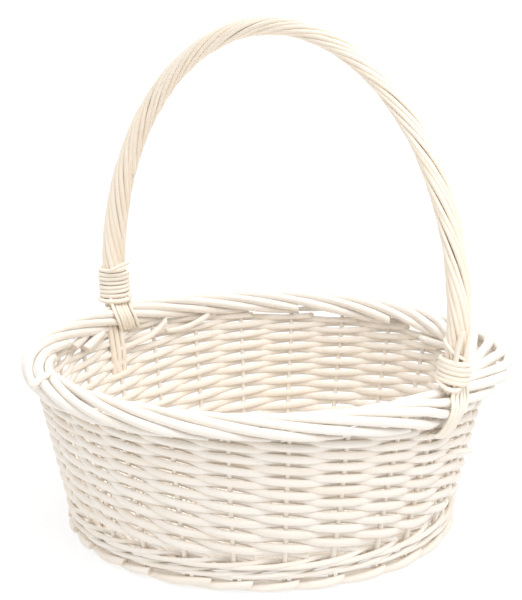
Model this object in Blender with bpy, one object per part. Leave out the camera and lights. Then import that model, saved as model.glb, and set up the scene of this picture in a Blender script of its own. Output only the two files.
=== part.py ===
"""Round willow market basket with a fixed roped bow handle.

Frame: metres, +Z up. The origin is on the resting plane, at the middle of the
round base. The handle spans X, so its two feet stand at +X and -X.

How the real basket is put together, from the bottom up:
  * 13 base sticks cross at the middle (six over seven) and spread like spokes;
    a flat round weave above and below grips them;
  * 26 side stakes rise beside the ends of the sticks and flare outwards;
  * a foot border runs round under the stakes, and a wale grips them above it;
  * the side is woven round the stakes: one wall of weave outside them, one inside;
  * the rim is a rolled border, laid here as four strands that twist round it;
  * three bow rods make the handle. They pass through the rim and down into the
    side. Four bundles of roping twist round them, each foot is bound with a
    collar of thin rod, and a strap of thin rod ties each foot down to the rim.
Nothing moves: the handle is fixed.
"""
import math

import bmesh
import bpy
from mathutils import Matrix, Vector

# ---------------------------------------------------------------- dimensions
GAP = 0.0003                 # clearance between pieces that touch

N_STAKES = 26
STAKE_R = 0.0021
STAKE_R_FOOT = 0.1549        # radius of the stake circle at z = 0
STAKE_R_TOP = 0.1843         # radius of the stake circle at z = WALL_REF_Z
WALL_REF_Z = 0.1310
STAKE_Z0 = 0.0120            # lower end of the stakes, on the foot border
WALL_TOP_Z = 0.1271          # upper end of stakes and side weave

WEAVE_T = 0.0049             # thickness of each wall of weave
WEAVE_OFF = STAKE_R + 0.0005   # from the stake circle to the weave's near face

FOOT_R_IN = 0.1534
FOOT_R_OUT = 0.1642
FOOT_H = 0.0110
WALE_TOP_Z = 0.0240

BASE_Z = 0.0164              # middle plane of the base sticks
BASE_R = 0.1492              # ends of the base sticks
BASE_STICK_R = 0.0019
BASE_WEAVE_T = 0.0034
BASE_HUB_R = 0.0520          # inside this radius the sticks cross
LANE = 0.0056                # spacing of the sticks where they cross

RIM_R = 0.1863               # circle through the middle of the rolled rim
RIM_Z = 0.1402
RIM_TURNS = 3
RIM_A = 0.0087               # half width of the twist, radially
RIM_B = 0.0075               # half height of the twist
RIM_STRAND_R = 0.0051
RIM_SEGS = 84
RIM_PART = 0.0062            # how far the strands part round a handle foot

FOOT_Y = 0.0070              # the handle stands this far off the X axis
LEAN = 0.0136                # and its top leans this much further
ARCH_A = 0.1949              # half span of the handle, middle of its thickness
ARCH_TOP_Z = 0.4137
ARCH_Z0 = 0.1926             # where the arch meets the straight legs
LEG_BEND = 2.5               # how the legs draw in towards the rim (1/m)
BOW_END_Z = 0.0900           # the bow rods end here, inside the side weave
BOW_R = 0.0024
BOW_CLUSTER_R = 0.0030       # bow rod middles, from the middle of the handle
ROPE_IN = 0.0061
ROPE_OUT = 0.0099
ROPE_TURNS = 2.5
ROPE_END_Z = 0.1564
BIND_Z0 = 0.1562
BIND_Z1 = 0.1880
BIND_T = 0.0034
STRAP_T = 0.0024
STRAP_W = 0.0125

COL_BODY = (0.86, 0.80, 0.70, 1.0)
COL_RIM = (0.93, 0.88, 0.80, 1.0)
COL_HANDLE = (0.88, 0.79, 0.64, 1.0)
COL_BASE = (0.84, 0.77, 0.66, 1.0)


# ---------------------------------------------------------------- helpers
def clear_scene():
    for ob in list(bpy.data.objects):
        bpy.data.objects.remove(ob, do_unlink=True)


def material(name, colour, rough=0.55):
    m = bpy.data.materials.new(name)
    m.use_nodes = True
    p = m.node_tree.nodes["Principled BSDF"]
    p.inputs["Base Color"].default_value = colour
    p.inputs["Roughness"].default_value = rough
    p.inputs["Metallic"].default_value = 0.0
    return m


def add(name, data, mat):
    ob = bpy.data.objects.new(name, data)
    bpy.context.scene.collection.objects.link(ob)
    ob.data.materials.append(mat)
    return ob


def smoothstep(x, a, b):
    t = min(1.0, max(0.0, (x - a) / (b - a)))
    return t * t * (3.0 - 2.0 * t)


def rod(name, pts, radius, colour, sides_res=1, closed=False, radii=None):
    """A round rod along a list of points; radii scales it point by point."""
    cu = bpy.data.curves.new(name, "CURVE")
    cu.dimensions = "3D"
    cu.resolution_u = 1
    cu.render_resolution_u = 0
    cu.bevel_depth = radius
    cu.bevel_resolution = sides_res
    cu.use_fill_caps = not closed
    sp = cu.splines.new("POLY")
    sp.points.add(len(pts) - 1)
    for i, p in enumerate(pts):
        sp.points[i].co = (p[0], p[1], p[2], 1.0)
        sp.points[i].radius = radii[i] if radii else 1.0
    sp.use_cyclic_u = closed
    sp.use_smooth = True
    return add(name, cu, material(name + "_willow", colour))


def ring_solid(name, section, colour, segs=52, phase=0.0, smooth_deg=40):
    """A solid ring: a closed section of (radius, z) points turned about Z."""
    bm = bmesh.new()
    rings = []
    for i in range(segs):
        a = phase + 2.0 * math.pi * i / segs
        c, s = math.cos(a), math.sin(a)
        rings.append([bm.verts.new((r * c, r * s, z)) for r, z in section])
    n = len(section)
    for i in range(segs):
        r0, r1 = rings[i], rings[(i + 1) % segs]
        for j in range(n):
            k = (j + 1) % n
            bm.faces.new((r0[j], r1[j], r1[k], r0[k]))
    bmesh.ops.recalc_face_normals(bm, faces=bm.faces)
    me = bpy.data.meshes.new(name)
    bm.to_mesh(me)
    bm.free()
    me.shade_smooth()
    me.set_sharp_from_angle(angle=math.radians(smooth_deg))
    return add(name, me, material(name + "_willow", colour))


def sweep_solid(name, rings_xyz, colour, smooth_deg=50):
    """A solid through a list of closed rings of points, with both ends filled."""
    bm = bmesh.new()
    rings = [[bm.verts.new(p) for p in r] for r in rings_xyz]
    n = len(rings[0])
    for a, b in zip(rings[:-1], rings[1:]):
        for j in range(n):
            k = (j + 1) % n
            bm.faces.new((a[j], b[j], b[k], a[k]))
    bm.faces.new(rings[0])
    bm.faces.new(list(reversed(rings[-1])))
    bmesh.ops.triangulate(bm, faces=[f for f in bm.faces if len(f.verts) > 4])
    bmesh.ops.recalc_face_normals(bm, faces=bm.faces)
    me = bpy.data.meshes.new(name)
    bm.to_mesh(me)
    bm.free()
    me.shade_smooth()
    me.set_sharp_from_angle(angle=math.radians(smooth_deg))
    return add(name, me, material(name + "_willow", colour))


def cutter(name, pts, radius, sides=12):
    """A short upright shaft of a given radius through a list of points."""
    rings = []
    for x, y, z in pts:
        rings.append([(x + radius * math.cos(2.0 * math.pi * i / sides),
                       y + radius * math.sin(2.0 * math.pi * i / sides), z)
                      for i in range(sides)])
    ob = sweep_solid(name, rings, COL_BODY)
    ob.hide_render = True
    ob.display_type = "WIRE"
    return ob


def cut(ob, cutters):
    for c in cutters:
        m = ob.modifiers.new("pocket", "BOOLEAN")
        m.operation = "DIFFERENCE"
        m.solver = "EXACT"
        m.object = c


# ---------------------------------------------------------------- rules
def stake_circle(z):
    """Radius of the circle of stakes at height z."""
    return STAKE_R_FOOT + (STAKE_R_TOP - STAKE_R_FOOT) * z / WALL_REF_Z


def stake_angle(k):
    """The stakes are set by eye: they stand a little closer at the front (-Y)
    and there is a wider space on the +X side of the back."""
    a = 2.0 * math.pi * k / N_STAKES
    d = math.degrees(a) % 360.0
    off = 1.1 - 5.9 * math.exp(-((d - 88.0) / 33.0) ** 2)
    off += 3.6 * math.exp(-((d - 252.0) / 20.0) ** 2)
    near0 = min(d, 360.0 - d)
    off -= 2.3 * math.exp(-(near0 / 7.0) ** 2)
    return a + math.radians(off)


def handle_line(z_end):
    """Middle line of the handle from the -X foot over the top to the +X foot,
    as (u, z) pairs with u along X; z_end is where both legs stop."""
    pts = []
    n_arch = 44
    for i in range(n_arch + 1):
        t = math.pi * i / n_arch
        pts.append((-ARCH_A * math.cos(t), ARCH_Z0 + (ARCH_TOP_Z - ARCH_Z0) * math.sin(t)))
    leg = []
    n_leg = max(2, int(round((ARCH_Z0 - z_end) / 0.010)))
    for i in range(1, n_leg + 1):
        z = ARCH_Z0 + (z_end - ARCH_Z0) * i / n_leg
        leg.append((leg_u(z), z))
    left = [(-u, z) for u, z in reversed(leg)]
    return left + pts + leg


def leg_u(z):
    """Distance of a leg from the middle: it draws in to the stake circle."""
    zj = 0.1300
    if z >= zj:
        return ARCH_A - LEG_BEND * (ARCH_Z0 - z) ** 2
    u = ARCH_A - LEG_BEND * (ARCH_Z0 - zj) ** 2
    return u + stake_circle(z) - stake_circle(zj)


def lean_y(z):
    return FOOT_Y + LEAN * max(0.0, z - 0.148) / 0.270


def handle_frames(z_end):
    """Points, outward normals and sideways normals along the handle, with the
    distance run from the -X foot and the thickness factor."""
    line = handle_line(z_end)
    P = [Vector((u, lean_y(z), z)) for u, z in line]
    out = []
    run = 0.0
    total = sum((b - a).length for a, b in zip(P[:-1], P[1:]))
    for i, p in enumerate(P):
        a, b = P[max(0, i - 1)], P[min(len(P) - 1, i + 1)]
        t = (b - a).normalized()
        side = Vector((0.0, -1.0, 0.0))
        side = (side - t * side.dot(t)).normalized()
        n = side.cross(t).normalized()
        if i:
            run += (p - P[i - 1]).length
        out.append((p, t, n, side, run, run / total))
    return out


def thickness(s):
    """The butts of the rods are at the -X foot, so the handle is thickest there;
    it thins to the top and grows a little again to the other foot."""
    left = 1.12 - 0.30 * smoothstep(s, 0.02, 0.46)
    right = 0.94 - 0.12 * (1.0 - smoothstep(s, 0.54, 0.92))
    return left if s < 0.5 else right


# ---------------------------------------------------------------- base
def build_base():
    n = 13
    # Stick ends stand midway between neighbouring stakes' places on the circle.
    for i in range(n):
        over = i < 7
        if over:
            j = i - 3                       # seven sticks along X
            a0 = 2.0 * math.pi * j / 26.0
            a1 = math.pi - a0
            lane = j * LANE
            mid = [(-0.024, lane), (0.0, lane), (0.024, lane)]
            ends = (a1, a0)
            zc = BASE_Z + BASE_STICK_R + 0.5 * GAP
        else:
            j = i - 7 - 2.5                 # six sticks along Y
            a0 = math.pi / 2.0 - 2.0 * math.pi * j / 26.0
            a1 = -a0
            lane = j * LANE
            mid = [(lane, -0.024), (lane, 0.0), (lane, 0.024)]
            ends = (a1, a0)
            zc = BASE_Z - BASE_STICK_R - 0.5 * GAP
        e0 = (BASE_R * math.cos(ends[0]), BASE_R * math.sin(ends[0]))
        e1 = (BASE_R * math.cos(ends[1]), BASE_R * math.sin(ends[1]))
        h0 = (BASE_HUB_R * math.cos(ends[0]), BASE_HUB_R * math.sin(ends[0]))
        h1 = (BASE_HUB_R * math.cos(ends[1]), BASE_HUB_R * math.sin(ends[1]))
        pts = [(e0[0], e0[1], BASE_Z), (h0[0], h0[1], BASE_Z)]
        pts += [(m[0], m[1], zc) for m in mid]
        pts += [(h1[0], h1[1], BASE_Z), (e1[0], e1[1], BASE_Z)]
        rod("base_stick_%02d" % (i + 1), pts, BASE_STICK_R, COL_BASE)

    zt = BASE_Z + BASE_STICK_R + GAP
    zb = BASE_Z - BASE_STICK_R - GAP
    for name, z0, z1 in (("base_weave_upper", zt, zt + BASE_WEAVE_T),
                         ("base_weave_lower", zb - BASE_WEAVE_T, zb)):
        ring_solid(name, [(0.0560, z0), (BASE_R, z0), (BASE_R, z1), (0.0560, z1)],
                   COL_BASE, segs=52)

    c = 0.0022
    ring_solid("foot_border",
               [(FOOT_R_IN + c, 0.0), (FOOT_R_OUT - c, 0.0), (FOOT_R_OUT, 2.2 * c),
                (FOOT_R_OUT, FOOT_H - c), (FOOT_R_OUT - c, FOOT_H),
                (FOOT_R_IN + c, FOOT_H), (FOOT_R_IN, FOOT_H - c), (FOOT_R_IN, 2.2 * c)],
               COL_BODY, segs=52)


# ---------------------------------------------------------------- side
def wall_section(z0, z1, near, far):
    """Section of a wall of weave between two heights, from near to far off the
    stake circle (negative is inside)."""
    a, b = stake_circle(z0), stake_circle(z1)
    return [(a + near, z0), (a + far, z0), (b + far, z1), (b + near, z1)]


def build_side():
    for k in range(N_STAKES):
        a = stake_angle(k)
        c, s = math.cos(a), math.sin(a)
        pts = []
        for z in (STAKE_Z0, 0.5 * (STAKE_Z0 + WALL_TOP_Z), WALL_TOP_Z - 0.0007):
            r = stake_circle(z)
            pts.append((r * c, r * s, z))
        rod("stake_%02d" % (k + 1), pts, STAKE_R, COL_BODY)

    near, far = WEAVE_OFF, WEAVE_OFF + WEAVE_T
    ring_solid("upsett_wale", wall_section(FOOT_H + GAP, WALE_TOP_Z, near, far - 0.0002),
               COL_BODY, segs=52)
    outer = ring_solid("side_weave_outer",
                       wall_section(WALE_TOP_Z + GAP, WALL_TOP_Z, near, far),
                       COL_BODY, segs=52)
    inner = ring_solid("side_weave_inner",
                       wall_section(FOOT_H + GAP, WALL_TOP_Z, -near, -far),
                       COL_BODY, segs=52)
    # Where a handle foot goes down into the side, the weave parts round it.
    cutters = []
    for sgn in (-1.0, 1.0):
        pts = [(sgn * leg_u(z), FOOT_Y, z) for z in (BOW_END_Z - 0.002, 0.110, 0.134)]
        cutters.append(cutter("pocket_" + ("plus" if sgn > 0 else "minus"), pts, 0.0055))
    cut(outer, cutters)
    cut(inner, cutters)


# ---------------------------------------------------------------- rim
def foot_angle(sgn):
    a = math.atan2(FOOT_Y, 0.188)
    return a if sgn > 0 else math.pi - a


def build_rim():
    """Four strands twist round the rim. Going anticlockwise from above, each runs
    from the inside over the top to the outside. They part round each foot."""
    fa = math.degrees(foot_angle(1.0))
    for j in range(4):
        pts = []
        for i in range(RIM_SEGS):
            th = 2.0 * math.pi * i / RIM_SEGS
            th += foot_angle(1.0) * math.cos(th)      # a point at each foot
            ph = RIM_TURNS * th + math.radians(45.0 - RIM_TURNS * fa * math.cos(th))
            al = -ph + j * math.pi / 2.0
            d0 = abs((math.degrees(th) - math.degrees(foot_angle(1.0)) + 180) % 360 - 180)
            d1 = abs((math.degrees(th) - math.degrees(foot_angle(-1.0)) + 180) % 360 - 180)
            part = math.exp(-(min(d0, d1) / 5.0) ** 2)
            a = RIM_A + RIM_PART * part
            z = RIM_Z + RIM_B * math.sin(al)
            r = RIM_R + part * (leg_u(z) - RIM_R) + a * math.cos(al)
            pts.append((r * math.cos(th), r * math.sin(th), z))
        rod("rim_strand_%d" % (j + 1), pts, RIM_STRAND_R, COL_RIM, closed=True)


# ---------------------------------------------------------------- handle
def build_handle():
    fr = handle_frames(BOW_END_Z)
    for j in range(3):
        b = math.radians(90.0 + 120.0 * j)
        pts, radii = [], []
        for p, t, n, side, run, s in fr:
            k = thickness(s)
            if p.z < ROPE_END_Z:
                # the pointed ends, driven down beside a stake
                k = min(k, 1.0) * (0.74 + 0.26 * smoothstep(p.z, 0.1515, ROPE_END_Z))
            q = p + (n * math.cos(b) + side * math.sin(b)) * BOW_CLUSTER_R * k
            pts.append(q)
            radii.append(k)
        rod("handle_bow_rod_%d" % (j + 1), pts, BOW_R, COL_HANDLE, radii=radii)

    fr = handle_frames(ROPE_END_Z)
    half = math.radians(39.0)
    for j in range(4):
        rings = []
        for p, t, n, side, run, s in fr:
            k = thickness(s)
            b0 = -2.0 * math.pi * ROPE_TURNS * s + j * math.pi / 2.0
            ring = []
            for rr, sweep in ((ROPE_IN, (-1, 0, 1)), (ROPE_OUT, (1, 0, -1))):
                for w in sweep:
                    b = b0 + half * w
                    rad = rr * k
                    if rr == ROPE_OUT and w == 0:
                        rad *= 1.0
                    elif rr == ROPE_OUT:
                        rad *= 0.93
                    ring.append(p + (n * math.cos(b) + side * math.sin(b)) * rad)
            rings.append(ring)
        sweep_solid("handle_rope_bundle_%d" % (j + 1), rings, COL_HANDLE)

    for name, sgn in (("handle_binding_left", -1.0), ("handle_binding_right", 1.0)):
        build_binding(name, sgn)
        build_strap(name.replace("binding", "strap"), sgn)


def build_binding(name, sgn):
    """A collar of thin rod, wound round the foot of the handle."""
    k = thickness(0.0 if sgn < 0 else 1.0)
    ri = ROPE_OUT * k + 0.0006
    ro = ri + BIND_T
    n_sec, n_up = 20, 3
    bm = bmesh.new()
    rings = []
    for i in range(n_up + 1):
        z = BIND_Z0 + (BIND_Z1 - BIND_Z0) * i / n_up
        p = Vector((sgn * leg_u(z), lean_y(z), z))
        n, side = Vector((sgn, 0.0, 0.0)), Vector((0.0, -1.0, 0.0))
        rin, rout = [], []
        for m in range(n_sec):
            b = 2.0 * math.pi * m / n_sec
            d = n * math.cos(b) + side * math.sin(b)
            rin.append(bm.verts.new(p + d * ri / math.cos(math.pi / n_sec)))
            rout.append(bm.verts.new(p + d * ro))
        rings.append((rin, rout))
    for (i0, o0), (i1, o1) in zip(rings[:-1], rings[1:]):
        for m in range(n_sec):
            w = (m + 1) % n_sec
            bm.faces.new((o0[m], o0[w], o1[w], o1[m]))
            bm.faces.new((i0[w], i0[m], i1[m], i1[w]))
    for (i0, o0), up in ((rings[0], False), (rings[-1], True)):
        for m in range(n_sec):
            w = (m + 1) % n_sec
            bm.faces.new((i0[m], i0[w], o0[w], o0[m]))
    bmesh.ops.recalc_face_normals(bm, faces=bm.faces)
    me = bpy.data.meshes.new(name)
    bm.to_mesh(me)
    bm.free()
    me.shade_smooth()
    me.set_sharp_from_angle(angle=math.radians(40))
    add(name, me, material(name + "_willow", COL_HANDLE))


def build_strap(name, sgn):
    """A strap of thin rods over the rim beside the foot, from low on the outside
    over the top to low on the inside."""
    off = 0.0150 if sgn < 0 else -0.0150
    tangential = off / RIM_R
    base = foot_angle(sgn) + (-tangential if sgn < 0 else tangential)
    half_w = 0.5 * STRAP_W / RIM_R
    a_in = RIM_A + 0.0050 + RIM_STRAND_R + GAP
    b_in = RIM_B + RIM_STRAND_R + 0.0004
    rings = []
    n = 16
    for i in range(n + 1):
        al = math.radians(-38.0 + 256.0 * i / n)
        ring = []
        for w, out in ((-1, 0.0), (1, 0.0), (1, STRAP_T), (-1, STRAP_T)):
            th = base + w * half_w
            r = RIM_R + 0.0010 + (a_in + out) * math.cos(al)
            z = RIM_Z + (b_in + out) * math.sin(al)
            ring.append((r * math.cos(th), r * math.sin(th), z))
        rings.append(ring)
    sweep_solid(name, rings, COL_HANDLE, smooth_deg=40)


def main():
    clear_scene()
    build_base()
    build_side()
    build_rim()
    build_handle()


main()
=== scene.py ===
import math

import bpy
import numpy as np
from mathutils import Matrix, Vector


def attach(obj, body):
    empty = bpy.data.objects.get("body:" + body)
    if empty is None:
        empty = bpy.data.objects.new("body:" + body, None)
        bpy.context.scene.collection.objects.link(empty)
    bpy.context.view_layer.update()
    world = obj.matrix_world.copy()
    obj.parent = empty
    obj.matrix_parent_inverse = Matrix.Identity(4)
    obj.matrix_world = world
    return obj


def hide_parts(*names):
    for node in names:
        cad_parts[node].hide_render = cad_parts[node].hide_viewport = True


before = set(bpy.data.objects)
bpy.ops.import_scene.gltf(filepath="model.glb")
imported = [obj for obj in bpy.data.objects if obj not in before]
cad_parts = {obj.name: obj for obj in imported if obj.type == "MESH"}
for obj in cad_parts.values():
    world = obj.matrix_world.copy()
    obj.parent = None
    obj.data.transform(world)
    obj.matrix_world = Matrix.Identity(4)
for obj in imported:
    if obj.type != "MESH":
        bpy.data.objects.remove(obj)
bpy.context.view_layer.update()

TAU = 2.0 * math.pi
N = 26                      # stakes

# ------------------------------------------------------------ sizes, as the CAD
STAKE_R = 0.0021
STAKE_R_FOOT, STAKE_R_TOP, WALL_REF_Z = 0.1549, 0.1843, 0.1310
RIM_R, RIM_Z = 0.1863, 0.1402
FOOT_Y, LEAN = 0.0070, 0.0136
ARCH_A, ARCH_TOP_Z, ARCH_Z0, LEG_BEND = 0.1949, 0.4137, 0.1926, 2.5
BOW_END_Z, ROPE_END_Z = 0.0900, 0.1564
ROPE_OUT, ROPE_TURNS = 0.0099, 3.8
BASE_Z, BASE_R, BASE_STICK_R, BASE_HUB_R, LANE = 0.0164, 0.1492, 0.0019, 0.0520, 0.0056
CONE = math.atan2(STAKE_R_TOP - STAKE_R_FOOT, WALL_REF_Z)


def stake_circle(z):
    return STAKE_R_FOOT + (STAKE_R_TOP - STAKE_R_FOOT) * np.asarray(z, float) / WALL_REF_Z


def stake_angle(k):
    a = TAU * np.asarray(k, float) / N
    d = np.degrees(a) % 360.0
    off = 1.1 - 5.9 * np.exp(-((d - 88.0) / 33.0) ** 2) + 3.6 * np.exp(-((d - 252.0) / 20.0) ** 2)
    off = off - 2.3 * np.exp(-(np.minimum(d, 360.0 - d) / 7.0) ** 2)
    return a + np.radians(off)


def leg_u(z):
    z = np.asarray(z, float)
    zj = 0.1300
    low = ARCH_A - LEG_BEND * (ARCH_Z0 - zj) ** 2 + stake_circle(z) - stake_circle(zj)
    return np.where(z >= zj, ARCH_A - LEG_BEND * (ARCH_Z0 - z) ** 2, low)


def lean_y(z):
    return FOOT_Y + LEAN * np.maximum(0.0, np.asarray(z, float) - 0.148) / 0.270


def sstep(x, a, b):
    t = np.clip((np.asarray(x, float) - a) / (b - a), 0.0, 1.0)
    return t * t * (3.0 - 2.0 * t)


def thickness(s):
    s = np.asarray(s, float)
    left = 1.12 - 0.30 * sstep(s, 0.02, 0.46)
    right = 0.94 - 0.12 * (1.0 - sstep(s, 0.54, 0.92))
    return np.where(s < 0.5, left, right)


def cyl(th, r, z):
    return np.stack([r * np.cos(th), r * np.sin(th), np.broadcast_to(z, np.shape(th))], -1)


def on_wall(th, z, off):
    """A point on the stakes' cone, moved off it towards the outside."""
    c = math.cos(CONE)
    R = stake_circle(z) + off * c
    return cyl(th, R, z - off * math.sin(CONE))


def wall_normal(th):
    c, s = math.cos(CONE), math.sin(CONE)
    return np.stack([c * np.cos(th), c * np.sin(th), np.full(np.shape(th), -s)], -1)


def wob(rng, x, wave, amp, terms=4):
    """Smooth seeded wandering along x."""
    out = np.zeros(np.shape(x))
    for i in range(terms):
        out += np.sin(TAU * np.asarray(x) / (wave * rng.uniform(0.55, 1.8)) + rng.uniform(0, TAU))
    return amp * out / math.sqrt(terms)


def norm(v):
    return v / np.maximum(np.linalg.norm(v, axis=-1, keepdims=True), 1e-12)


def spline(points, n):
    """n points evenly along a smooth curve through the given ones."""
    P = np.asarray(points, float)
    Q = np.vstack([2 * P[0] - P[1], P, 2 * P[-1] - P[-2]])
    out = []
    for i in range(1, len(Q) - 2):
        p0, p1, p2, p3 = Q[i - 1], Q[i], Q[i + 1], Q[i + 2]
        t = np.linspace(0, 1, 24, endpoint=False)[:, None]
        out.append(0.5 * ((2 * p1) + (-p0 + p2) * t + (2 * p0 - 5 * p1 + 4 * p2 - p3) * t ** 2
                          + (-p0 + 3 * p1 - 3 * p2 + p3) * t ** 3))
    out.append(P[-1:])
    D = np.vstack(out)
    s = np.concatenate([[0], np.cumsum(np.linalg.norm(np.diff(D[:, :3], axis=0), axis=1))])
    g = np.linspace(0, s[-1], n)
    return np.stack([np.interp(g, s, D[:, j]) for j in range(D.shape[1])], -1)


def carried(P):
    """A sideways direction carried along the path without twisting."""
    T = norm(np.gradient(P, axis=0))
    a = np.array([0.0, 0.0, 1.0]) if abs(T[0, 2]) < 0.8 else np.array([1.0, 0.0, 0.0])
    n = norm(a - T[0] * (a @ T[0]))
    out = [n]
    for i in range(1, len(P)):
        n = n - T[i] * (n @ T[i])
        n = n / max(np.linalg.norm(n), 1e-9)
        out.append(n)
    return np.array(out)


class Rods:
    """One or more willow rods gathered into one mesh."""

    def __init__(self):
        self.v, self.quads, self.tris = [], [], []
        self.rod, self.tint, self.cap = [], [], []
        self.count = 0

    def add(self, P, r, rng, sides=10, ref=None, flat=1.0, ends=("cut", "cut"), slope=(0.0, 0.0),
            slope_dir=(None, None), rough=0.022, tone=None):
        P = np.asarray(P, float)
        M = len(P)
        T = norm(np.gradient(P, axis=0))
        n = carried(P) if ref is None else np.broadcast_to(ref, P.shape)
        n = norm(n - T * np.sum(n * T, -1, keepdims=True))
        b = np.cross(T, n)
        s = np.concatenate([[0], np.cumsum(np.linalg.norm(np.diff(P, axis=0), axis=1))])
        r = np.broadcast_to(r, (M,)).copy()
        r = r * (1.0 + wob(rng, s, 0.060, rough) + wob(rng, s, 0.017, rough * 0.35))
        a = np.arange(sides) * TAU / sides
        oval = 1.0 + 0.03 * np.sin(2 * a[None, :] + wob(rng, s, 0.08, 2.0)[:, None])
        ca, sa = np.cos(a)[None, :], np.sin(a)[None, :]
        ring = (P[:, None, :] + (r * flat)[:, None, None] * (oval * ca)[..., None] * n[:, None, :]
                + r[:, None, None] * (oval * sa)[..., None] * b[:, None, :])
        start = rng.uniform(0, 40.0)
        roll = rng.uniform(0, TAU)
        rod = np.stack([np.broadcast_to(s[:, None] + start, (M, sides)),
                        r[:, None] * np.cos(a + roll)[None, :], r[:, None] * np.sin(a + roll)[None, :]], -1)
        rings, rods, caps = [ring], [rod], [np.zeros((M, sides))]
        # Ends: a small rounding, then the cut face.
        done = []
        for which in (0, 1):
            i = 0 if which == 0 else M - 1
            t = -T[i] if which == 0 else T[i]
            rr = r[i]
            d = np.zeros(sides)
            if slope[which]:
                sd = n[i] if slope_dir[which] is None else np.asarray(slope_dir[which], float)
                d = slope[which] * ((ring[i] - P[i]) @ sd + rr)
            base = ring[i] + d[:, None] * t
            ring[i] = base
            if ends[which] == "tip":
                levels = ((0.55, 0.30, 0.0), (0.15, 0.45, 0.0))
            else:
                levels = ((0.95, 0.07, 0.0), (0.88, 0.11, 0.0), (0.85, 0.115, 1.0), (0.30, 0.10, 1.0))
            extra = []
            mid = base.mean(0)
            for k, along, cap in levels:
                ex = mid + (base - mid) * k + t * rr * along
                extra.append((ex, rod[i] * np.array([1.0, k, k]), np.full(sides, cap)))
            done.append((extra, mid + t * rr * levels[-1][1], rod[i].mean(0), levels[-1][2]))
        front = [e for e in reversed(done[0][0])]
        V = [e[0] for e in front] + list(ring) + [e[0] for e in done[1][0]]
        A = [e[1] for e in front] + list(rod) + [e[1] for e in done[1][0]]
        C = [e[2] for e in front] + list(caps[0]) + [e[2] for e in done[1][0]]
        V, A, C = np.array(V), np.array(A), np.array(C)
        R = len(V)
        base = self.count
        i = np.arange(R - 1)[:, None] * sides
        j = np.arange(sides)[None, :]
        j2 = (j + 1) % sides
        q = np.stack([i + j, i + j2, i + sides + j2, i + sides + j], -1).reshape(-1, 4) + base
        c0, c1 = base + R * sides, base + R * sides + 1
        j = np.arange(sides)
        t0 = np.stack([np.full(sides, c0), base + (j + 1) % sides, base + j], -1)
        last = base + (R - 1) * sides
        t1 = np.stack([np.full(sides, c1), last + j, last + (j + 1) % sides], -1)
        self.v += [V.reshape(-1, 3), np.array([done[0][1], done[1][1]])]
        self.rod += [A.reshape(-1, 3), np.array([done[0][2], done[1][2]])]
        self.cap += [C.reshape(-1), np.array([done[0][3], done[1][3]])]
        self.quads.append(q)
        self.tris += [t0, t1]
        tone = rng.uniform(0, 1, 3) if tone is None else np.asarray(tone, float)
        self.tint.append(np.broadcast_to(tone, (R * sides + 2, 3)))
        self.count += R * sides + 2

    def build(self, name, mat, nodes=()):
        v = np.vstack(self.v).astype(np.float32)
        q, t = np.vstack(self.quads), np.vstack(self.tris)
        me = bpy.data.meshes.new(name)
        me.vertices.add(len(v))
        me.vertices.foreach_set("co", v.ravel())
        loops = np.concatenate([q.ravel(), t.ravel()]).astype(np.int32)
        me.loops.add(len(loops))
        me.loops.foreach_set("vertex_index", loops)
        me.polygons.add(len(q) + len(t))
        starts = np.concatenate([np.arange(len(q)) * 4, len(q) * 4 + np.arange(len(t)) * 3]).astype(np.int32)
        me.polygons.foreach_set("loop_start", starts)
        me.update(calc_edges=True)
        me.validate()
        me.shade_smooth()
        for label, kind, data, field in (("rod", "FLOAT_VECTOR", np.vstack(self.rod), "vector"),
                                         ("tint", "FLOAT_VECTOR", np.vstack(self.tint), "vector"),
                                         ("cap", "FLOAT", np.concatenate(self.cap), "value")):
            at = me.attributes.new(label, kind, "POINT")
            at.data.foreach_set(field, data.astype(np.float32).ravel())
        me.materials.append(mat)
        ob = bpy.data.objects.new(name, me)
        bpy.context.scene.collection.objects.link(ob)
        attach(ob, "root")
        if nodes:
            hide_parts(*nodes)
        return ob


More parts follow.
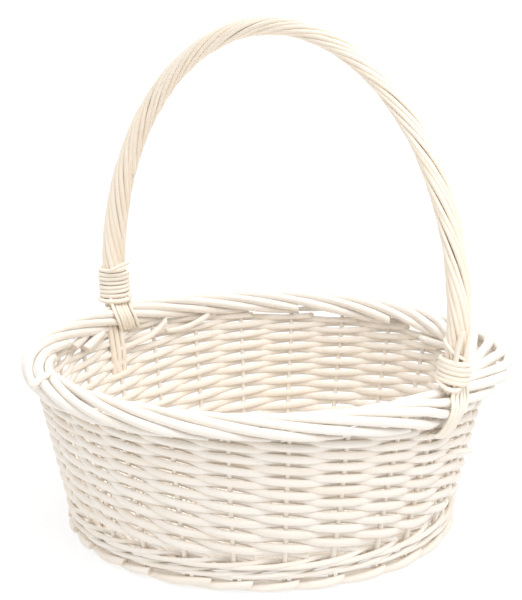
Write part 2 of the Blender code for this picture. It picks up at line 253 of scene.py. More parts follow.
# ------------------------------------------------------------ materials
def willow(name, pale, tan, brown, rough, spots):
    """Peeled willow: long fine grain, slow colour changes along the rod, a tone of
    its own for each rod, small brown scars, and darker open grain on cut ends."""
    m = bpy.data.materials.new(name)
    m.use_nodes = True
    nt = m.node_tree
    L = nt.links
    bsdf = nt.nodes["Principled BSDF"]

    def node(kind, **kw):
        n = nt.nodes.new(kind)
        for k, v in kw.items():
            setattr(n, k, v)
        return n

    def scaled(src, vec):
        n = node("ShaderNodeVectorMath", operation="MULTIPLY")
        L.new(src, n.inputs[0])
        n.inputs[1].default_value = vec
        return n.outputs[0]

    def noise(src, detail=3.0, rough_=0.55, dist=0.0):
        n = node("ShaderNodeTexNoise")
        n.inputs["Scale"].default_value = 1.0
        n.inputs["Detail"].default_value = detail
        n.inputs["Roughness"].default_value = rough_
        n.inputs["Distortion"].default_value = dist
        L.new(src, n.inputs["Vector"])
        return n.outputs["Fac"]

    def ramp(src, a, b, lo=0.0, hi=1.0):
        n = node("ShaderNodeMapRange", interpolation_type="SMOOTHSTEP")
        L.new(src, n.inputs["Value"])
        n.inputs["From Min"].default_value = a
        n.inputs["From Max"].default_value = b
        n.inputs["To Min"].default_value = lo
        n.inputs["To Max"].default_value = hi
        return n.outputs["Result"]

    def math_(op, a, b):
        n = node("ShaderNodeMath", operation=op)
        for i, x in enumerate((a, b)):
            if isinstance(x, (int, float)):
                n.inputs[i].default_value = x
            else:
                L.new(x, n.inputs[i])
        return n.outputs[0]

    def mix(fac, a, b, blend="MIX"):
        n = node("ShaderNodeMix", data_type="RGBA", blend_type=blend)
        for sock, x in ((n.inputs[0], fac), (n.inputs[6], a), (n.inputs[7], b)):
            if isinstance(x, (int, float)):
                sock.default_value = x
            elif isinstance(x, tuple):
                sock.default_value = (*x, 1.0)
            else:
                L.new(x, sock)
        return n.outputs[2]

    rod = node("ShaderNodeAttribute", attribute_name="rod").outputs["Vector"]
    tint = node("ShaderNodeAttribute", attribute_name="tint").outputs["Vector"]
    cap = node("ShaderNodeAttribute", attribute_name="cap").outputs["Fac"]
    sep = node("ShaderNodeSeparateXYZ")
    L.new(tint, sep.inputs[0])

    fine = noise(scaled(rod, (38.0, 2300.0, 2300.0)), 2.0, 0.6)
    streak = noise(scaled(rod, (9.0, 620.0, 620.0)), 3.0, 0.6, 0.3)
    slow = noise(scaled(rod, (14.0, 90.0, 90.0)), 2.0, 0.5)
    scar = noise(scaled(rod, (75.0, 330.0, 330.0)), 1.0, 0.5)

    tone = ramp(sep.outputs[0], 0.0, 1.0, 0.0, 0.34)
    a = mix(math_("ADD", ramp(slow, 0.42, 0.72, 0.0, 0.34), tone), pale, tan)
    a = mix(ramp(streak, 0.50, 0.74, 0.0, 0.42), a, tan)
    a = mix(ramp(fine, 0.52, 0.72, 0.0, 0.20), a, brown)
    a = mix(ramp(scar, 0.74 - 0.02 * spots, 0.82, 0.0, 0.5), a, brown)
    face = mix(ramp(noise(scaled(rod, (0.0, 1500.0, 1500.0)), 3.0), 0.40, 0.65, 0.25, 0.75), tan, brown)
    a = mix(math_("MULTIPLY", cap, 0.55), a, face)
    L.new(a, bsdf.inputs["Base Color"])

    rg = math_("ADD", ramp(streak, 0.35, 0.70, rough - 0.06, rough + 0.10), ramp(fine, 0.4, 0.7, 0.0, 0.10))
    L.new(rg, bsdf.inputs["Roughness"])
    bsdf.inputs["Specular IOR Level"].default_value = 0.42

    h = math_("ADD", math_("MULTIPLY", fine, 0.55), math_("MULTIPLY", streak, 0.9))
    h = math_("SUBTRACT", h, math_("MULTIPLY", ramp(scar, 0.72, 0.80), 0.8))
    bump = node("ShaderNodeBump")
    bump.inputs["Strength"].default_value = 0.55
    bump.inputs["Distance"].default_value = 0.00032
    L.new(h, bump.inputs["Height"])
    L.new(bump.outputs[0], bsdf.inputs["Normal"])
    return m


SIDE = willow("side_peeled_willow", (0.945, 0.893, 0.826), (0.90, 0.803, 0.687), (0.66, 0.50, 0.35), 0.50, 0.6)
RIM = willow("rim_peeled_willow", (0.925, 0.885, 0.83), (0.885, 0.81, 0.715), (0.66, 0.50, 0.35), 0.44, 0.3)
HANDLE = willow("handle_peeled_willow", (0.935, 0.853, 0.745), (0.89, 0.77, 0.615), (0.64, 0.47, 0.30), 0.46, 0.8)
BIND = willow("binding_peeled_willow", (0.955, 0.89, 0.79), (0.92, 0.82, 0.675), (0.60, 0.43, 0.26), 0.46, 0.6)
BASE = willow("base_peeled_willow", (0.93, 0.88, 0.82), (0.88, 0.79, 0.68), (0.60, 0.45, 0.30), 0.54, 0.8)


# ------------------------------------------------------------ stakes
def build_stakes():
    for k in range(N):
        rng = np.random.default_rng(100 + k)
        z = np.linspace(0.0055, 0.1345, 60)
        th = np.full(60, float(stake_angle(k))) + wob(rng, z, 0.12, 0.0022)
        off = wob(rng, z, 0.10, 0.0002)
        R = Rods()
        R.add(on_wall(th, z, off), STAKE_R * rng.uniform(0.94, 1.06) * (1.0 - 0.06 * z / 0.13), rng, sides=10,
              ref=wall_normal(th))
        R.build("side_stake_rod_%02d" % (k + 1), SIDE, ["stake_%02d" % (k + 1)])


# ------------------------------------------------------------ side weave
ROW = (0.0386, 0.00625, -0.0000525)


def weave_field(th, z):
    """Rows wander a little up and down together round the basket."""
    return 0.0006 * np.sin(3 * th + 1.3 + 25 * z) + 0.0005 * np.sin(5 * th - 0.7 - 40 * z)


def build_side_weave():
    for w in range(N):
        rng = np.random.default_rng(300 + w)
        m0 = -1.30 + rng.uniform(-0.08, 0.08)
        m1 = 17.32 + rng.uniform(-0.25, 0.22)
        m = np.linspace(m0, m1, int((m1 - m0) * 18))
        th = stake_angle(w - m)
        z = ROW[0] + ROW[1] * m + ROW[2] * m * m
        c = np.cos(math.pi * m)
        z = z + weave_field(th, z) + wob(rng, m, 3.0, 0.00022) - 0.0011 * (1.0 - c)
        r = (0.00340 - 0.00046 * m / 17.0) * rng.uniform(0.95, 1.05) * (1.0 - 0.03 + 0.085 * c)
        r = r * (1.0 + wob(rng, m, 4.0, 0.02))
        off = 0.0030 * np.sign(c) * np.abs(c) ** 0.92
        R = Rods()
        R.add(on_wall(th, z, off), r, rng, sides=12, ref=wall_normal(th), flat=0.74,
              slope=(1.1, rng.uniform(0.6, 2.0)))
        R.build("side_weaver_rod_%02d" % (w + 1), SIDE, ["side_weave_outer", "side_weave_inner"])


# ------------------------------------------------------------ upsett: two rows of three-rod wale
def build_wale():
    r = 0.00205
    start = 9.0
    for j in range(3):
        rng = np.random.default_rng(500 + j)
        S = np.arange(start + j, start + j + 51.3, 1.0 / 14)
        x = (S - j) % 3.0
        x = (x + 0.5) % 3.0
        front = np.sin(math.pi * np.clip(x, 0, 2) / 2.0) ** 0.7
        back = -np.sin(math.pi * np.clip(x - 2.0, 0, 1))
        g = np.where(x < 2.0, front, back)
        k = np.ones(5) / 5
        g = np.convolve(np.pad(g, 2, mode="edge"), k, "valid")
        up = np.where(x < 2.0, -0.52 + 1.04 * x / 2.0, 0.52 - 1.04 * sstep(x, 2.0, 3.0))
        up = np.convolve(np.pad(up, 2, mode="edge"), k, "valid")
        zc = 0.0150 + 0.0076 * sstep(S, start + 25.0, start + 27.2)
        z = zc + up * 0.0047 + wob(rng, S, 6.0, 0.0003)
        rr = r * (1.0 + wob(rng, S, 8.0, 0.07))
        th = stake_angle(S)
        R = Rods()
        R.add(on_wall(th, z, (STAKE_R + r) * g + 0.0004), rr, rng, sides=10, ref=wall_normal(th), slope=(0.8, 0.8))
        R.build("upsett_wale_rod_%d" % (j + 1), SIDE, ["upsett_wale"])


# ------------------------------------------------------------ foot border
def build_foot():
    for k in range(N):
        rng = np.random.default_rng(600 + k)
        m1 = 1.28 + rng.uniform(-0.22, 0.30)
        m = np.linspace(-0.80, m1, 40)
        th = stake_angle(k + m)
        beta = np.radians(np.interp(m, [-0.80, 0.0, 0.60, 1.30, 1.7], [150.0, 232.0, 300.0, 385.0, 396.0]))
        r = 0.00335 * rng.uniform(0.92, 1.08) * (1.0 - 0.22 * sstep(m, -0.1, -0.8))
        a, b = 0.0028, 0.0028
        R0 = 0.1590 + 0.0006 * sstep(m, 0.3, 1.2)
        rad = R0 + a * np.cos(beta)
        z = 0.0058 + b * np.sin(beta) + 0.0003 * rng.uniform(-1, 1) * sstep(m, 0.2, 1.2)
        z = np.maximum(z, r * 1.04 + 0.0001)
        R = Rods()
        R.add(cyl(th, rad, z), r, rng, sides=14, ref=np.array([0.0, 0.0, 1.0]), slope=(0.5, rng.uniform(0.1, 0.9)))
        R.build("foot_border_rod_%02d" % (k + 1), SIDE, ["foot_border"])


# ------------------------------------------------------------ base
def arm_points(k):
    """Points of arm k: at the hub square, where it turns out, and at the edge."""
    a = TAU * k / N
    k = k % N
    if k <= 3 or k >= 23:
        j = k if k <= 3 else k - 26
        h = (0.024, j * LANE)
    elif 10 <= k <= 16:
        h = (-0.024, (13 - k) * LANE)
    elif 4 <= k <= 9:
        h = ((6.5 - k) * LANE, 0.024)
    else:
        h = ((k - 19.5) * LANE, -0.024)
    return (np.array(h), np.array([BASE_HUB_R * math.cos(a), BASE_HUB_R * math.sin(a)]),
            np.array([BASE_R * math.cos(a), BASE_R * math.sin(a)]))


def arm_angles(R):
    """Angle of each arm where it crosses a circle of radius R."""
    out = []
    for k in range(N):
        h, o, e = arm_points(k)
        if R >= BASE_HUB_R:
            p = o
        else:
            lo, hi = 0.0, 1.0
            for _ in range(18):
                mid = 0.5 * (lo + hi)
                if np.linalg.norm(h + (o - h) * mid) < R:
                    lo = mid
                else:
                    hi = mid
            p = h + (o - h) * hi
        ang = math.atan2(p[1], p[0])
        out.append(ang + TAU * round((TAU * k / N - ang) / TAU))
    return np.array(out)


def build_base():
    for i in range(13):
        over = i < 7
        if over:
            j = i - 3
            a0 = TAU * j / N
            a1 = math.pi - a0
            lane = j * LANE
            mid = [(-0.024, lane), (0.0, lane), (0.024, lane)]
            zc = BASE_Z + BASE_STICK_R + 0.0001
        else:
            j = i - 7 - 2.5
            a0 = math.pi / 2 - TAU * j / N
            a1 = -a0
            lane = j * LANE
            mid = [(lane, -0.024), (lane, 0.0), (lane, 0.024)]
            zc = BASE_Z - BASE_STICK_R - 0.0001
        rng = np.random.default_rng(700 + i)
        e0, e1 = (BASE_R * math.cos(a1), BASE_R * math.sin(a1)), (BASE_R * math.cos(a0), BASE_R * math.sin(a0))
        h0 = (BASE_HUB_R * math.cos(a1), BASE_HUB_R * math.sin(a1))
        h1 = (BASE_HUB_R * math.cos(a0), BASE_HUB_R * math.sin(a0))
        pts = [(*e0, BASE_Z), (*h0, BASE_Z)] + [(m[0], m[1], zc) for m in mid] + [(*h1, BASE_Z), (*e1, BASE_Z)]
        P = spline(pts, 110)
        R = Rods()
        R.add(P, BASE_STICK_R * rng.uniform(0.95, 1.05), rng, sides=10, ref=np.array([0.0, 0.0, 1.0]))
        R.build("base_stick_rod_%02d" % (i + 1), BASE, ["base_stick_%02d" % (i + 1)])

    # Pairing: two rods that cross between every two arms, from the hub to the edge.
    radii = np.linspace(0.026, 0.152, 64)
    table = np.array([arm_angles(R) for R in radii])
    r0, r1, pitch = 0.0300, 0.1480, 0.0039
    turns = (r1 - r0) / pitch
    for which in (0, 1):
        rng = np.random.default_rng(760 + which)
        kap = np.arange(0.0, turns * N, 1.0 / 7)
        Rk = r0 + pitch * kap / N
        ki = np.floor(kap).astype(int)
        fr = kap - ki
        row = np.interp(Rk, radii, np.arange(len(radii)))
        i0 = np.clip(np.floor(row).astype(int), 0, len(radii) - 2)
        f = row - i0

        def at(k):
            kk = k % N
            return (table[i0, kk] * (1 - f) + table[i0 + 1, kk] * f) + TAU * (k // N)
        th = at(ki) * (1 - fr) + at(ki + 1) * fr
        ph = math.pi * (kap + which)
        r = 0.00165 * (1.0 + wob(rng, kap, 40.0, 0.06))
        z = BASE_Z + (BASE_STICK_R + 0.0015) * np.cos(ph)
        rad = Rk + 0.00085 * np.sin(ph) + wob(rng, kap, 30.0, 0.00015)
        R = Rods()
        R.add(cyl(th, rad, z), r, rng, sides=7, ref=np.array([0.0, 0.0, 1.0]))
        R.build("base_pairing_rod_%d" % (which + 1), BASE, ["base_weave_upper", "base_weave_lower"])

    # Rounds that tie the crossed sticks together.
    R = Rods()
    rng = np.random.default_rng(790)
    for n, d in enumerate((0.0213, 0.0243, 0.0273)):
        a = np.linspace(0, TAU, 140)
        p = 5.0
        sq = d / (np.abs(np.cos(a)) ** p + np.abs(np.sin(a)) ** p) ** (1 / p)
        lift = np.cos(2 * a)
        z = BASE_Z + 0.0001 + (BASE_STICK_R + 0.0022) * np.clip(lift * 1.9, -1, 1) * (-1 if n == 2 else 1) \
            + 0.0016 * np.clip(lift * 1.9, -1, 1)
        R.add(np.stack([sq * np.cos(a), sq * np.sin(a), z], -1), 0.0014, rng, sides=8, ref=np.array([0.0, 0.0, 1.0]))
    R.build("base_tie_rounds", BASE)


# ------------------------------------------------------------ rim: rolled border
RIM_A, RIM_B, RIM_ROD = 0.0100, 0.0078, 0.00375


def rim_swell(th, al):
    """Where the rolled border stands away from its plain section: it spreads out beside
    the +X foot, and hangs a little lower right at that foot."""
    d = (np.degrees(th) + 180.0) % 360.0 - 180.0
    c = np.cos(al)
    bulge = np.exp(-((d - 43.0) / 21.0) ** 2)
    low = np.exp(-((d + 4.0) / 15.0) ** 2)
    share = np.where(np.sin(al) >= 0, np.clip(0.45 + 0.55 * c, 0, 1), np.clip(c, 0, 1) ** 0.9)
    u = bulge * 0.0098 * share + low * 0.0008 * np.clip(c, 0, 1)
    z = -bulge * 0.0015 * c - low * 0.0042 * np.clip(0.25 - np.sin(al), 0, 1)
    return u, z


def rim_point(S, alpha, A=RIM_A, B=RIM_B, dth=0.0):
    """alpha in degrees: 0 outside, 90 on top, 180 inside."""
    th = stake_angle(S) + dth
    d = np.degrees(th) % 360.0
    al = np.radians(alpha + 14.0 * np.exp(-((d - 46.0) / 22.0) ** 2))
    u, z = rim_swell(th, al)
    return cyl(th, RIM_R + A * np.cos(al) + u, RIM_Z + B * np.sin(al) + z), th


def rim_normal(th, alpha):
    al = np.radians(alpha)
    return np.stack([np.cos(al) * np.cos(th), np.cos(al) * np.sin(th), np.sin(al)], -1)


BUTTS = {9: 1.0, 7: 1.0, 3: 1.0, 15: 1.0, 16: 1.0, 20: 1.0}


def build_rim():
    for k in range(N):
        rng = np.random.default_rng(800 + k)
        butt = k in BUTTS
        m0 = -0.10 if butt else -1.10
        m1 = 4.93 + rng.uniform(-0.30, 0.30)
        if 10.0 < np.degrees(float(stake_angle(k + m1))) % 360.0 < 85.0:
            m1 += 0.45
        m = np.linspace(m0, m1, int((m1 - m0) * 20))
        alpha = 196.0 - 54.0 * m + wob(rng, m, 5.0, 1.8) + rng.uniform(-2.0, 2.0)
        lift = 1.0 + wob(rng, m, 4.0, 0.025)
        A = RIM_A * lift
        B = RIM_B * lift * (1.0 + 0.10 * np.clip(-np.sin(np.radians(alpha)), 0, 1))
        if butt:
            A = A + 0.0008 * sstep(m, 0.9, -0.10)
        P, th = rim_point(k + m, alpha, A, B)
        r = RIM_ROD * rng.uniform(0.95, 1.06) * (1.0 + wob(rng, m, 3.0, 0.02))
        r = r * (1.0 - 0.10 * m / 5.0)
        r = r * (1.0 + 0.17 * np.exp(-(((np.degrees(th) % 360.0) - 43.0) / 24.0) ** 2))
        if not butt:
            r = r * (1.0 - 0.30 * sstep(m, -0.4, -1.10))
        pointed = rng.uniform() < 0.6
        r = r * (1.0 - (0.62 if pointed else 0.25) * sstep(m, m1 - 0.75, m1))
        R = Rods()
        R.add(P, r, rng, sides=16, ref=rim_normal(th, alpha),
              ends=("cut", "cut"), slope=(0.5, 0.9 if pointed else 0.4))
        R.build("rim_border_rod_%02d" % (k + 1), RIM,
                ["rim_strand_1", "rim_strand_2", "rim_strand_3", "rim_strand_4"])


# ------------------------------------------------------------ handle
def handle_path(z_end, n):
    """n points from the -X leg over the top to the +X leg, with outward and
    sideways directions and the share of the way run."""
    t = np.linspace(0, math.pi, 400)
    arch = np.stack([-ARCH_A * np.cos(t), ARCH_Z0 + (ARCH_TOP_Z - ARCH_Z0) * np.sin(t)], -1)
    z = np.linspace(ARCH_Z0, z_end, 120)[1:]
    right = np.stack([leg_u(z), z], -1)
    left = right[::-1] * np.array([-1.0, 1.0])
    line = np.vstack([left, arch, right])
    P = np.stack([line[:, 0], lean_y(line[:, 1]), line[:, 1]], -1)
    s = np.concatenate([[0], np.cumsum(np.linalg.norm(np.diff(P, axis=0), axis=1))])
    g = np.linspace(0, s[-1], n)
    P = np.stack([np.interp(g, s, P[:, i]) for i in range(3)], -1)
    T = norm(np.gradient(P, axis=0))
    side = np.broadcast_to(np.array([0.0, -1.0, 0.0]), P.shape)
    side = norm(side - T * np.sum(side * T, -1, keepdims=True))
    out = norm(np.cross(side, T))
    return P, T, out, side, g / g[-1]


STRANDS = 12


def build_handle():
    P, T, out, side, s = handle_path(BOW_END_Z, 460)
    # A round bunch in the arch; side by side against the inside of the wall further down.
    low = sstep(P[:, 2], 0.153, 0.137)
    inward = np.interp(P[:, 2], [0.090, 0.106, 0.128, 0.142], [-0.0026, -0.0060, -0.0066, -0.0040])
    shift = np.where(P[:, 0] < 0, 0.0125, 0.0) * sstep(P[:, 2], 0.152, 0.132)
    for j in range(3):
        rng = np.random.default_rng(900 + j)
        a = TAU * j / 3 + 0.5
        c = 0.0030
        across = (0.0060, 0.0, -0.0060)[j]
        r = 0.0024 + 0.0002 * low
        o = c * math.cos(a) * (1.0 - low) + inward * low
        w = c * math.sin(a) * (1.0 - low) + across * low + shift
        R = Rods()
        R.add(P + o[:, None] * out + w[:, None] * side, r, rng, sides=10, ref=out, slope=(1.5, 1.5))
        R.build("handle_bow_core_%d" % (j + 1), HANDLE, ["handle_bow_rod_%d" % (j + 1)])

    P, T, out, side, s = handle_path(0.1500, 520)
    width = np.array([1.05, 0.86, 1.12, 0.95, 1.08, 0.84, 1.04, 1.10, 0.90, 1.06, 0.92, 1.02])
    width = width / width.sum()
    mid = (np.cumsum(width) - width / 2) * TAU
    for j in range(STRANDS):
        rng = np.random.default_rng(950 + j)
        thick = ROPE_OUT * thickness(s)
        centre = thick * 0.80
        r = width[j] * TAU * centre * 0.505 * (1.0 + wob(rng, s, 0.25, 0.05))
        b = -TAU * ROPE_TURNS * s + mid[j] + wob(rng, s, 0.26, 0.075)
        rad = thick - r * 1.02 - np.abs(wob(rng, s, 0.2, 0.0004))
        Q = P + rad[:, None] * (out * np.cos(b)[:, None] + side * np.sin(b)[:, None])
        ref = out * np.cos(b)[:, None] + side * np.sin(b)[:, None]
        R = Rods()
        R.add(Q, r, rng, sides=12, ref=ref, flat=1.0)
        R.build("handle_rope_rod_%02d" % (j + 1), HANDLE,
                ["handle_rope_bundle_%d" % (i + 1) for i in range(4)])


def leg_axis(sgn, z):
    return np.stack([sgn * leg_u(z), lean_y(z), z], -1)


def build_bindings():
    # sgn, turns, rod radius, rope radius there, bottom, top, tilt, seed
    for name, sgn, turns, rb, rope, z0, z1, tilt, seed in (
            ("left", -1, 8, 0.00185, 0.0110, 0.1528, 0.1846, 0.02, 1000),
            ("right", 1, 5, 0.00210, 0.0094, 0.1560, 0.1752, 0.26, 1010)):
        rng = np.random.default_rng(seed)
        n = turns * 30
        f = np.linspace(0, 1, n)
        ph = TAU * turns * f + 0.8
        z = z0 + (z1 - z0) * f ** 0.94 + wob(rng, f * turns, 1.3, 0.00025)
        rad = rope + rb * 0.95 + wob(rng, f * turns, 2.0, 0.0002)
        if sgn < 0:
            rad = rad + 0.0012 * sstep(f, 0.22, 0.05)
        rad = rad - 0.0035 * sstep(f, 0.03, 0.0) - 0.0030 * sstep(f, 0.97, 1.0)
        ax = leg_axis(sgn, z)
        way = np.stack([np.cos(ph), np.sin(ph), np.zeros(n)], -1)
        Q = ax + rad[:, None] * way
        Q[:, 2] -= tilt * rad * (way[:, 0] * 0.73 + way[:, 1] * 0.68)
        rb = rb * (1.0 + (0.16 * sstep(f, 0.26, 0.12) if sgn < 0 else 0.0 * f))
        R = Rods()
        R.add(Q, rb, rng, sides=10, ref=np.array([0.0, 0.0, 1.0]), flat=1.0)
        if sgn < 0:
            R.add(spline([(-0.1870, -0.0052, 0.1842), (-0.1808, -0.0045, 0.1866), (-0.1751, 0.0000, 0.1906),
                          (-0.1722, 0.0068, 0.1926)], 24), 0.0017, rng, slope=(0.0, 0.8))
        else:
            # A turn that hangs low at the front, and one that climbs up the rope.
            ph = np.radians(np.linspace(165.0, 345.0, 60))
            z = np.interp(np.degrees(ph), [165.0, 223.0, 290.0, 318.0, 345.0], [0.1645, 0.1618, 0.1548, 0.1535, 0.1545])
            rad = np.interp(np.degrees(ph), [165.0, 200.0, 325.0, 345.0], [0.0094, 0.0122, 0.0122, 0.0100])
            R.add(leg_axis(1, z) + rad[:, None] * np.stack([np.cos(ph), np.sin(ph), np.zeros(60)], -1), 0.0020, rng)
            ph = np.radians(np.linspace(195.0, 420.0, 70))
            z = np.interp(np.degrees(ph), [195.0, 240.0, 300.0, 370.0, 420.0], [0.1925, 0.1895, 0.1820, 0.1745, 0.1730])
            rad = np.interp(np.degrees(ph), [195.0, 225.0, 390.0, 420.0], [0.0070, 0.0098, 0.0112, 0.0092])
            R.add(leg_axis(1, z) + rad[:, None] * np.stack([np.cos(ph), np.sin(ph), np.zeros(70)], -1), 0.0014, rng)
        R.build("handle_binding_cord_" + name, BIND, ["handle_binding_" + name])

    # Two cut ends that stand up in front of the rope at the +X foot.
    rng = np.random.default_rng(1020)
    R = Rods()
    P = spline([(0.2010, 0.0060, 0.1640), (0.2042, 0.0058, 0.1760), (0.2066, 0.0050, 0.1900), (0.2082, 0.0050, 0.2040)], 40)
    f = np.linspace(0, 1, 40)
    R.add(P, 0.0021 * (1.0 - 0.70 * sstep(f, 0.45, 1.0)), rng, slope=(0.0, 1.5))
    R.build("handle_cut_end_1", HANDLE)
    R = Rods()
    P = spline([(0.1985, -0.0010, 0.1660), (0.2005, -0.0008, 0.1760), (0.2024, -0.0006, 0.1880), (0.2048, 0.0004, 0.1990)], 36)
    R.add(P, 0.0021, rng, slope=(0.0, 0.5))
    R.build("handle_cut_end_2", HANDLE)


def strap_point(sgn, tang, alpha, lift):
    """On the rim's surface: tang metres round from the foot, alpha degrees, lift off the rods."""
    foot = math.atan2(FOOT_Y, 0.188) if sgn > 0 else math.pi - math.atan2(FOOT_Y, 0.188)
    th = foot + tang / RIM_R
    al = math.radians(alpha)
    du, dz = rim_swell(th, al)
    u = (RIM_A + RIM_ROD + lift) * math.cos(al) + float(du)
    w = (RIM_B + RIM_ROD + lift) * math.sin(al) + float(dz)
    return np.array([(RIM_R + u) * math.cos(th), (RIM_R + u) * math.sin(th), RIM_Z + w])


def between(a, b, f):
    return np.asarray(a, float) * (1.0 - f) + np.asarray(b, float) * f


def build_straps():
    # Inside at the -X foot: six strands side by side, over the rim and down inside.
    for i in range(6):
        rng = np.random.default_rng(1100 + i)
        f = (i + rng.uniform(-0.13, 0.13)) / 5.0
        up = rng.uniform(-0.0004, 0.0004)
        pts = [between((-0.1862, -0.0026, 0.1610), (-0.1792, 0.0120, 0.1610), f),
               between((-0.1850, -0.0034, 0.1572), (-0.1782, 0.0126, 0.1572), f)]
        for a, b in (((0.0110, 105.5), (-0.0070, 114.0)), ((0.0145, 130.0), (-0.0052, 134.0)),
                     ((0.0157, 150.0), (-0.0050, 152.0)), ((0.0148, 172.0), (-0.0062, 173.0)),
                     ((0.0120, 198.0), (-0.0088, 197.5)), ((0.0085, 218.0), (-0.0122, 217.0)),
                     ((0.0048, 236.0), (-0.0160, 236.0))):
            t, al = between(a, b, f)
            pts.append(strap_point(-1, t, al, 0.0013 + up))
        t, al = between((0.0020, 254.0), (-0.0190, 254.0), f)
        pts.append(strap_point(-1, t, al, -0.0022))
        R = Rods()
        R.add(spline(pts, 70), 0.00172 * rng.uniform(0.90, 1.06), rng, sides=10, flat=0.9)
        R.build("handle_strap_cord_left_%d" % (i + 1), BIND, ["handle_strap_left"])
    # Outside at the +X foot: five strands that swing away under the rim.
    for i in range(5):
        rng = np.random.default_rng(1120 + i)
        f = (i + rng.uniform(-0.10, 0.10)) / 4.0
        up = rng.uniform(-0.0003, 0.0003)
        pts = [between((0.1980, 0.0032, 0.1625), (0.1958, 0.0165, 0.1625), f),
               between((0.1986, 0.0015, 0.1565), (0.1972, 0.0172, 0.1560), f)]
        for a, b in (((-0.0083, 35.0), (0.0090, 27.0)), ((-0.0103, 14.0), (0.0062, 8.0)),
                     ((-0.0115, -7.0), (0.0030, -12.0)), ((-0.0126, -34.0), (0.0012, -38.0))):
            t, al = between(a, b, f)
            pts.append(strap_point(1, t, al, 0.0014 + up))
        pts.append(between((0.1930, -0.0062, 0.1200), (0.1932, 0.0060, 0.1172), f))
        pts.append(between((0.1898, -0.0088, 0.1172), (0.1896, 0.0020, 0.1138), f))
        pts.append(between((0.1850, -0.0110, 0.1170), (0.1848, -0.0010, 0.1130), f))
        R = Rods()
        R.add(spline(pts, 80), 0.00165 * rng.uniform(0.92, 1.08), rng, sides=10, flat=0.9)
        R.build("handle_strap_cord_right_%d" % (i + 1), BIND, ["handle_strap_right"])


# ------------------------------------------------------------ cut ends left standing
def build_cut_ends():
    ends = (
        # name, radius, material, start to free end
        ("side_cut_end_1", 0.0031, SIDE, [(-0.1759, -0.0048, 0.1115), (-0.1737, 0.0105, 0.1142), (-0.1709, 0.0269, 0.1180),
                                          (-0.1690, 0.0400, 0.1240), (-0.1678, 0.0466, 0.1290)]),
        ("side_cut_end_2", 0.0029, SIDE, [(-0.1683, 0.0515, 0.1200), (-0.1610, 0.0665, 0.1218), (-0.1566, 0.0775, 0.1252),
                                          (-0.1540, 0.0880, 0.1300), (-0.1560, 0.0930, 0.1345)]),
        ("side_cut_end_3", 0.0030, SIDE, [(-0.1810, -0.0090, 0.1100), (-0.1767, -0.0098, 0.1057), (-0.1738, -0.0090, 0.0975),
                                          (-0.1735, -0.0039, 0.0888)]),
        ("rim_cut_end_1", 0.0040, RIM, [(-0.1757, -0.0235, 0.1320), (-0.1703, -0.0378, 0.1285), (-0.1655, -0.0503, 0.1255)]),
        ("rim_cut_end_2", 0.0040, RIM, [(-0.1800, -0.0350, 0.1345), (-0.1707, -0.0500, 0.1335), (-0.1620, -0.0675, 0.1310)]),
        ("rim_cut_end_3", 0.0032, RIM, [(0.1217, 0.1320, 0.1395), (0.0980, 0.1480, 0.1345), (0.0732, 0.1589, 0.1310),
                                        (0.0437, 0.1674, 0.1290)]),
        ("rim_cut_end_4", 0.0030, RIM, [(-0.0580, -0.1790, 0.1530), (-0.0600, -0.1872, 0.1500), (-0.0612, -0.1925, 0.1466)]),
        ("side_cut_end_4", 0.0024, SIDE, [(0.1700, 0.0340, 0.0880), (0.1740, 0.0440, 0.0868), (0.1770, 0.0540, 0.0855)]),
    )
    for i, (name, r, mat, pts) in enumerate(ends):
        rng = np.random.default_rng(1200 + i)
        R = Rods()
        R.add(spline(pts, 36), r * (1.0 - 0.25 * np.linspace(1, 0, 36) ** 2), rng, sides=12, slope=(0.5, 0.6))
        R.build(name, mat)


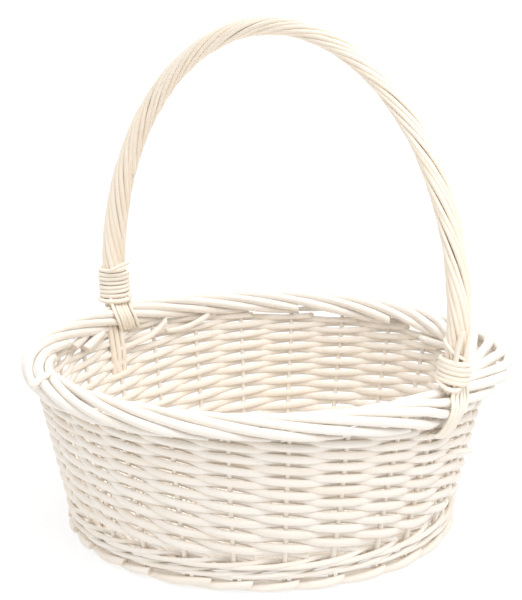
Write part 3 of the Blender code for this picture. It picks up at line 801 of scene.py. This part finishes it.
# ------------------------------------------------------------ camera, floor and light
def build_stage():
    eye = Vector((0.837393, -0.893497, 0.501492))
    d = Vector((-0.66253211, 0.70701316, -0.24735318)).normalized()
    cam = bpy.data.cameras.new("camera")
    cam.sensor_fit = "HORIZONTAL"
    cam.sensor_width = 36.0
    cam.lens = 104.496
    cam.clip_start, cam.clip_end = 0.05, 50.0
    ob = bpy.data.objects.new("camera", cam)
    bpy.context.scene.collection.objects.link(ob)
    right = d.cross(Vector((0, 0, 1))).normalized()
    up = right.cross(d)
    M = Matrix((right, up, -d)).transposed().to_4x4()
    M.translation = eye
    ob.matrix_world = M
    bpy.context.scene.camera = ob

    me = bpy.data.meshes.new("floor")
    s = 9.0
    me.from_pydata([(-s, -s, -0.0003), (s, -s, -0.0003), (s, s, -0.0003), (-s, s, -0.0003)], [], [(0, 1, 2, 3)])
    m = bpy.data.materials.new("studio_floor")
    m.use_nodes = True
    b = m.node_tree.nodes["Principled BSDF"]
    nt = m.node_tree
    co = nt.nodes.new("ShaderNodeTexCoord")
    far = nt.nodes.new("ShaderNodeVectorMath")
    far.operation = "LENGTH"
    fade = nt.nodes.new("ShaderNodeMapRange")
    fade.interpolation_type = "SMOOTHSTEP"
    fade.inputs["From Min"].default_value = 0.25
    fade.inputs["From Max"].default_value = 1.60
    fade.inputs["To Min"].default_value = 0.30
    fade.inputs["To Max"].default_value = 0.36
    nt.links.new(co.outputs["Object"], far.inputs[0])
    nt.links.new(far.outputs["Value"], fade.inputs["Value"])
    nt.links.new(fade.outputs["Result"], b.inputs["Base Color"])
    b.inputs["Roughness"].default_value = 0.9
    b.inputs["Specular IOR Level"].default_value = 0.1
    b.inputs["Emission Color"].default_value = (1.0, 1.0, 1.0, 1.0)
    b.inputs["Emission Strength"].default_value = 0.70
    me.materials.append(m)
    floor = bpy.data.objects.new("floor", me)
    bpy.context.scene.collection.objects.link(floor)

    w = bpy.data.worlds.new("studio")
    w.use_nodes = True
    nt = w.node_tree
    bg = nt.nodes["Background"]
    bg.inputs["Color"].default_value = (1.0, 1.0, 1.0, 1.0)
    co = nt.nodes.new("ShaderNodeTexCoord")
    sep = nt.nodes.new("ShaderNodeSeparateXYZ")
    up = nt.nodes.new("ShaderNodeMapRange")
    up.inputs["From Min"].default_value = 0.35
    up.inputs["From Max"].default_value = 1.0
    up.inputs["To Min"].default_value = 0.52
    up.inputs["To Max"].default_value = 1.76
    path = nt.nodes.new("ShaderNodeLightPath")
    pick = nt.nodes.new("ShaderNodeMix")
    pick.data_type = "FLOAT"
    nt.links.new(co.outputs["Generated"], sep.inputs[0])
    nt.links.new(sep.outputs[2], up.inputs["Value"])
    nt.links.new(path.outputs["Is Camera Ray"], pick.inputs[0])
    nt.links.new(up.outputs[0], pick.inputs[2])
    pick.inputs[3].default_value = 1.05
    nt.links.new(pick.outputs[0], bg.inputs["Strength"])
    bpy.context.scene.world = w

    for name, loc, size, power in (("softbox_top", (0.95, -0.15, 1.6), 1.2, 14.0),):
        la = bpy.data.lights.new(name, "AREA")
        la.shape = "SQUARE"
        la.size = size
        la.energy = power
        lo = bpy.data.objects.new(name, la)
        bpy.context.scene.collection.objects.link(lo)
        lo.location = loc
        lo.rotation_euler = (Vector((0, 0, 0.15)) - Vector(loc)).to_track_quat("-Z", "Y").to_euler()
    bpy.context.scene.view_settings.view_transform = "Standard"
    bpy.context.scene.view_settings.look = "None"
    bpy.context.scene.view_settings.exposure = 0.0
    bpy.context.scene.view_settings.gamma = 1.0


build_stakes()
build_side_weave()
build_wale()
build_foot()
build_base()
build_rim()
build_handle()
build_bindings()
build_straps()
build_cut_ends()
build_stage()
